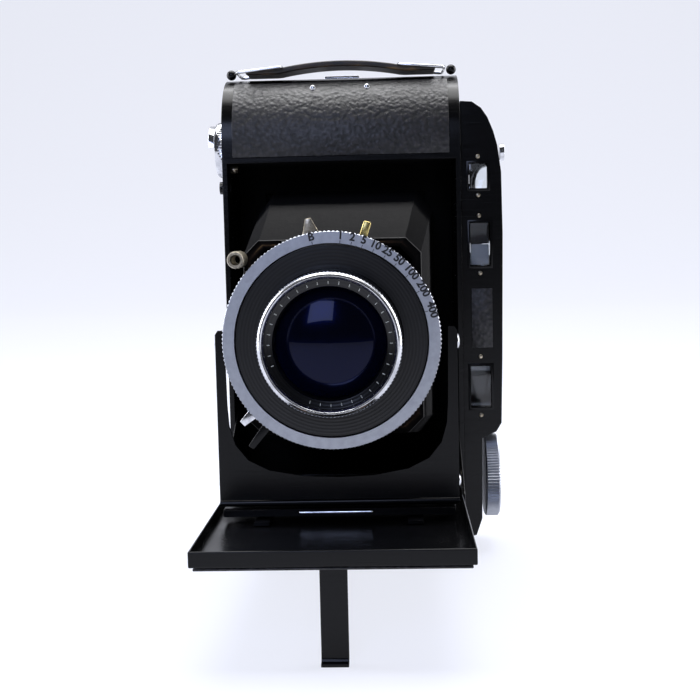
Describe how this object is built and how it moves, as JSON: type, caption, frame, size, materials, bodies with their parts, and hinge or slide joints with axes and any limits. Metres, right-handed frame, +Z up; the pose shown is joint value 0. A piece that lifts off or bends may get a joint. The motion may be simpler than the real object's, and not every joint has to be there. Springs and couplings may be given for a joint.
{
  "type": "folding camera",
  "caption": "Folding roll-film camera standing on its end, bed open, with bellows, leaf-shutter lens, rangefinder housing, focus knob, strap and hinged back.",
  "frame": {"origin": "middle of the flat end that the case stands on, in the lens plane of symmetry", "axes": "+Z up along the case, -Y out of the lens, +X towards the rangefinder housing"},
  "size_m": [0.101, 0.1441, 0.1692],
  "materials": {
    "enamel": "gloss black stove enamel",
    "leather": "black pebbled leather",
    "chrome": "polished",
    "satin_aluminium": "satin, knurled edge",
    "brass": "worn",
    "steel": "worn satin",
    "anodised": "black anodised",
    "glass": "blue-violet coated",
    "bellows": "thin pleated leather, worn at the folds",
    "wood": "plain turned"
  },
  "bodies": {
    "case": {"body_shell": "enamel", "film_gate_frame": "anodised", "front_leather_upper": "leather", "front_leather_lower": "leather", "bellows": "bellows", "bed_hinge_pin": "steel", "rangefinder_housing": "enamel", "eyepiece_plate": "anodised", "rangefinder_window_glass": "glass", "finder_window_glass": "glass", "second_window_glass": "glass", "rangefinder_prism": "glass", "strap_lug_left": "chrome", "strap_lug_right": "chrome"},
    "back": {"back_door": "enamel", "back_hinge_barrel": "enamel", "back_leather": "leather", "pressure_plate": "anodised", "pressure_spring": "steel"},
    "cover": {"window_cover": "chrome"},
    "catch": {"back_catch": "chrome"},
    "take_up": {"take_up_spool": "wood", "spool_gear": "brass"},
    "supply": {"supply_spool": "wood"},
    "roller_upper": {"film_roller_upper": "steel"},
    "roller_lower": {"film_roller_lower": "steel"},
    "key": {"winding_key": "chrome", "winding_pinion": "brass"},
    "wing": {"key_wing": "chrome"},
    "bed_button": {"bed_release_button": "enamel", "bed_catch": "steel"},
    "shutter_button": {"release_button": "chrome"},
    "knob": {"focus_knob": "chrome"},
    "strap": {"strap_loop_left": "chrome", "strap_loop_right": "chrome", "strap_leather": "leather"},
    "bed": {"bed_panel": "enamel", "bed_leather": "leather", "bed_hinge_barrel": "enamel"},
    "foot": {"bed_foot": "enamel"},
    "rail": {"focus_rail": "steel"},
    "carriage": {"standard_carriage": "enamel", "pull_bar": "chrome"},
    "braces": {"bed_brace_left": "enamel", "bed_brace_right": "enamel"},
    "frame": {"front_frame": "enamel"},
    "lens": {"lens_board": "enamel", "shutter_body": "anodised", "front_barrel": "chrome", "front_element": "glass", "rear_barrel": "anodised", "rear_element": "glass", "iris_blades": "anodised", "shutter_blades": "anodised", "cable_socket": "steel"},
    "speed": {"speed_ring": "satin_aluminium"},
    "aperture": {"aperture_lever": "steel"},
    "cocking": {"cocking_lever": "brass"},
    "timer": {"self_timer_lever": "chrome"},
    "release": {"release_lever": "steel"}
  },
  "joints": [
    {"name": "bed_hinge", "type": "hinge", "parent": "case", "child": "bed", "pos_m": [0, -0.0236, 0.0292], "axis": [-1, 0, 0], "range_deg": [0, 90]},
    {"name": "focus_slide", "type": "slide", "parent": "bed", "child": "rail", "axis": [0, -1, 0], "range_m": [0, 0.004]},
    {"name": "carriage_slide", "type": "slide", "parent": "rail", "child": "carriage", "axis": [0, 1, 0], "range_m": [0, 0.054]},
    {"name": "frame_hinge", "type": "hinge", "parent": "carriage", "child": "frame", "pos_m": [0, -0.084, 0.0335], "axis": [1, 0, 0], "range_deg": [0, 90]},
    {"name": "lens_slide", "type": "slide", "parent": "frame", "child": "lens", "axis": [0, 1, 0], "range_m": [0, 0.0313], "deforming": ["bellows"]},
    {"name": "brace_hinge", "type": "hinge", "parent": "bed", "child": "braces", "pos_m": [0, -0.062, 0.0294], "axis": [1, 0, 0], "range_deg": [0, 143.9]},
    {"name": "foot_hinge", "type": "hinge", "parent": "bed", "child": "foot", "pos_m": [0, -0.1235, 0.0244], "axis": [1, 0, 0], "range_deg": [0, 90]},
    {"name": "focus_knob_turn", "type": "hinge", "parent": "case", "child": "knob", "pos_m": [0.0496, -0.005, 0.0249], "axis": [1, 0, 0], "range_deg": [0, 150]},
    {"name": "speed_ring_turn", "type": "hinge", "parent": "lens", "child": "speed", "pos_m": [0, -0.103, 0.082], "axis": [0, -1, 0], "range_deg": [0, 150]},
    {"name": "aperture_turn", "type": "hinge", "parent": "lens", "child": "aperture", "pos_m": [0, -0.103, 0.082], "axis": [0, -1, 0], "range_deg": [0, 25]},
    {"name": "cocking_turn", "type": "hinge", "parent": "lens", "child": "cocking", "pos_m": [0, -0.103, 0.082], "axis": [0, 1, 0], "range_deg": [0, 25]},
    {"name": "timer_turn", "type": "hinge", "parent": "lens", "child": "timer", "pos_m": [0, -0.103, 0.082], "axis": [0, -1, 0], "range_deg": [0, 40]},
    {"name": "release_turn", "type": "hinge", "parent": "lens", "child": "release", "pos_m": [0, -0.103, 0.082], "axis": [0, -1, 0], "range_deg": [0, 8], "stiffness_Nm_per_rad": 0.02},
    {"name": "shutter_button_press", "type": "slide", "parent": "case", "child": "shutter_button", "axis": [-1, 0, 0], "range_m": [0, 0.0009], "stiffness_N_per_m": 300},
    {"name": "key_turn", "type": "hinge", "parent": "case", "child": "key", "pos_m": [-0.04, -0.005, 0.1403], "axis": [1, 0, 0], "continuous": true},
    {"name": "take_up_turn", "type": "hinge", "parent": "case", "child": "take_up", "pos_m": [0, -0.003, 0.14925], "axis": [1, 0, 0], "continuous": true},
    {"name": "supply_turn", "type": "hinge", "parent": "case", "child": "supply", "pos_m": [0, -0.003, 0.01415], "axis": [1, 0, 0], "continuous": true},
    {"name": "roller_upper_turn", "type": "hinge", "parent": "case", "child": "roller_upper", "pos_m": [0, 0.008, 0.1382], "axis": [1, 0, 0], "continuous": true},
    {"name": "roller_lower_turn", "type": "hinge", "parent": "case", "child": "roller_lower", "pos_m": [0, 0.008, 0.0244], "axis": [1, 0, 0], "continuous": true},
    {"name": "wing_fold", "type": "hinge", "parent": "key", "child": "wing", "pos_m": [-0.0439, -0.005, 0.1409], "axis": [0, -1, 0], "range_deg": [0, 90]},
    {"name": "bed_button_press", "type": "slide", "parent": "case", "child": "bed_button", "axis": [1, 0, 0], "range_m": [0, 0.0012], "stiffness_N_per_m": 200},
    {"name": "back_hinge", "type": "hinge", "parent": "case", "child": "back", "pos_m": [0, 0.0106, 0.0015], "axis": [-1, 0, 0], "range_deg": [0, 100]},
    {"name": "cover_slide", "type": "slide", "parent": "back", "child": "cover", "axis": [1, 0, 0], "range_m": [0, 0.014]},
    {"name": "catch_slide", "type": "slide", "parent": "case", "child": "catch", "axis": [1, 0, 0], "range_m": [0, 0.003]},
    {"name": "strap_swing", "type": "hinge", "parent": "case", "child": "strap", "pos_m": [0, -0.008, 0.1654], "axis": [1, 0, 0], "range_deg": [-5, 10]}
  ],
  "couplings": [
    {"joint": "focus_slide", "follows": "focus_knob_turn", "m_per_rad": 0.0015279},
    {"joint": "carriage_slide", "follows": "bed_hinge", "m_per_rad": 0.034377},
    {"joint": "frame_hinge", "follows": "bed_hinge", "ratio": 1},
    {"joint": "lens_slide", "follows": "bed_hinge", "m_per_rad": 0.019926},
    {"joint": "brace_hinge", "follows": "bed_hinge", "ratio": 1.5989},
    {"joint": "key_turn", "follows": "take_up_turn", "ratio": -1.5}
  ]
}
